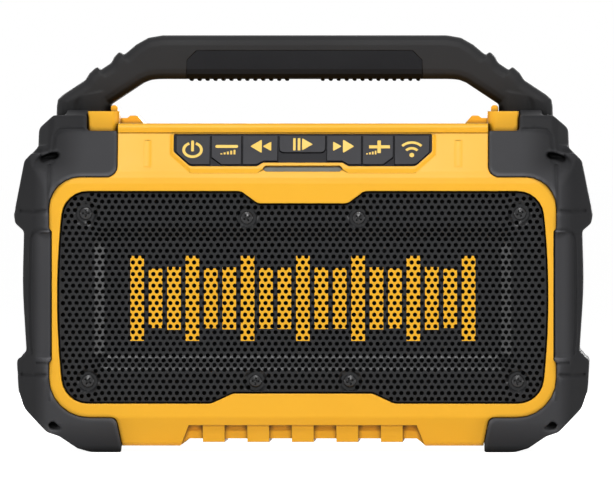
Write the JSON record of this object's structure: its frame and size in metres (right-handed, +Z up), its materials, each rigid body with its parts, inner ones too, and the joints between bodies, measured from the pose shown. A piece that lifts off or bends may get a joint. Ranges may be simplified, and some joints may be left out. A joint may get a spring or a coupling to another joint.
{
  "type": "jobsite bluetooth speaker",
  "caption": "Rugged cordless bluetooth speaker with a perforated steel grille, a sloped keypad, rubber corner bumpers, a fixed carrying handle and a battery bay at the back.",
  "frame": {"origin": "on the ground, in the middle of the footprint", "axes": "+Z up, +X to the right seen from the front, the grille faces -Y"},
  "size_m": [0.2642, 0.1288, 0.1905],
  "materials": {
    "yellow_abs": "satin moulded ABS",
    "black_abs": "fine textured moulded ABS",
    "bumper_rubber": "matte moulded rubber",
    "grip_rubber": "soft matte overmould",
    "grille_steel": "black powder coat on perforated steel",
    "black_screw": "black zinc",
    "zinc_screw": "bright zinc",
    "baffle_abs": "plain moulded ABS",
    "basket_steel": "black stamped steel",
    "magnet_steel": "ferrite and plated steel",
    "surround_rubber": "thin butyl rubber",
    "cone_paper": "coated paper",
    "key_rubber": "matte silicone",
    "frame_abs": "satin moulded ABS",
    "circuit_board": "solder mask",
    "lens": "diffuse polycarbonate",
    "bare_aluminium": "extruded",
    "contact_brass": "bright",
    "seal_rubber": "foam cord"
  },
  "bodies": {
    "body": {"front_housing": "yellow_abs", "rear_housing": "black_abs", "housing_seal": "seal_rubber", "housing_screws": "zinc_screw", "left_bumper": "bumper_rubber", "right_bumper": "bumper_rubber", "handle": "black_abs", "handle_grip": "grip_rubber", "handle_screws": "zinc_screw", "grille": "grille_steel", "grille_screws": "black_screw", "baffle": "baffle_abs", "baffle_screws": "zinc_screw", "left_basket": "basket_steel", "right_basket": "basket_steel", "left_magnet": "magnet_steel", "right_magnet": "magnet_steel", "left_surround": "surround_rubber", "right_surround": "surround_rubber", "driver_screws": "zinc_screw", "keypad_frame": "frame_abs", "keypad_board": "circuit_board", "keypad_screws": "zinc_screw", "indicator_lens": "lens", "main_board": "circuit_board", "heat_sink": "bare_aluminium", "board_screws": "zinc_screw", "battery_dock": "black_abs", "battery_terminals": "contact_brass", "aux_jack": "black_abs", "power_jack": "black_abs", "port_cover_pin": "zinc_screw"},
    "power_key": {"power_key": "key_rubber"},
    "volume_down_key": {"volume_down_key": "key_rubber"},
    "rewind_key": {"rewind_key": "key_rubber"},
    "play_key": {"play_key": "key_rubber"},
    "forward_key": {"forward_key": "key_rubber"},
    "volume_up_key": {"volume_up_key": "key_rubber"},
    "pairing_key": {"pairing_key": "key_rubber"},
    "left_cone": {"left_cone": "cone_paper"},
    "right_cone": {"right_cone": "cone_paper"},
    "port_cover": {"port_cover": "bumper_rubber"}
  },
  "joints": [
    {"name": "left_cone_slide", "type": "slide", "parent": "body", "child": "left_cone", "axis": [0, 1, 0], "range_m": [-0.002, 0.002], "stiffness_N_per_m": 1400, "deforming": ["left_surround"]},
    {"name": "right_cone_slide", "type": "slide", "parent": "body", "child": "right_cone", "axis": [0, 1, 0], "range_m": [-0.002, 0.002], "stiffness_N_per_m": 1400, "deforming": ["right_surround"]},
    {"name": "power_key_press", "type": "slide", "parent": "body", "child": "power_key", "axis": [0, 0.9063, -0.4226], "range_m": [0, 0.0008], "stiffness_N_per_m": 2000},
    {"name": "volume_down_key_press", "type": "slide", "parent": "body", "child": "volume_down_key", "axis": [0, 0.9063, -0.4226], "range_m": [0, 0.0008], "stiffness_N_per_m": 2000},
    {"name": "rewind_key_press", "type": "slide", "parent": "body", "child": "rewind_key", "axis": [0, 0.9063, -0.4226], "range_m": [0, 0.0008], "stiffness_N_per_m": 2000},
    {"name": "play_key_press", "type": "slide", "parent": "body", "child": "play_key", "axis": [0, 0.9063, -0.4226], "range_m": [0, 0.0008], "stiffness_N_per_m": 2000},
    {"name": "forward_key_press", "type": "slide", "parent": "body", "child": "forward_key", "axis": [0, 0.9063, -0.4226], "range_m": [0, 0.0008], "stiffness_N_per_m": 2000},
    {"name": "volume_up_key_press", "type": "slide", "parent": "body", "child": "volume_up_key", "axis": [0, 0.9063, -0.4226], "range_m": [0, 0.0008], "stiffness_N_per_m": 2000},
    {"name": "pairing_key_press", "type": "slide", "parent": "body", "child": "pairing_key", "axis": [0, 0.9063, -0.4226], "range_m": [0, 0.0008], "stiffness_N_per_m": 2000},
    {"name": "port_cover_hinge", "type": "hinge", "parent": "body", "child": "port_cover", "pos_m": [0.073, 0.0596, 0.0614], "axis": [-1, 0, 0], "range_deg": [0, 110]}
  ]
}
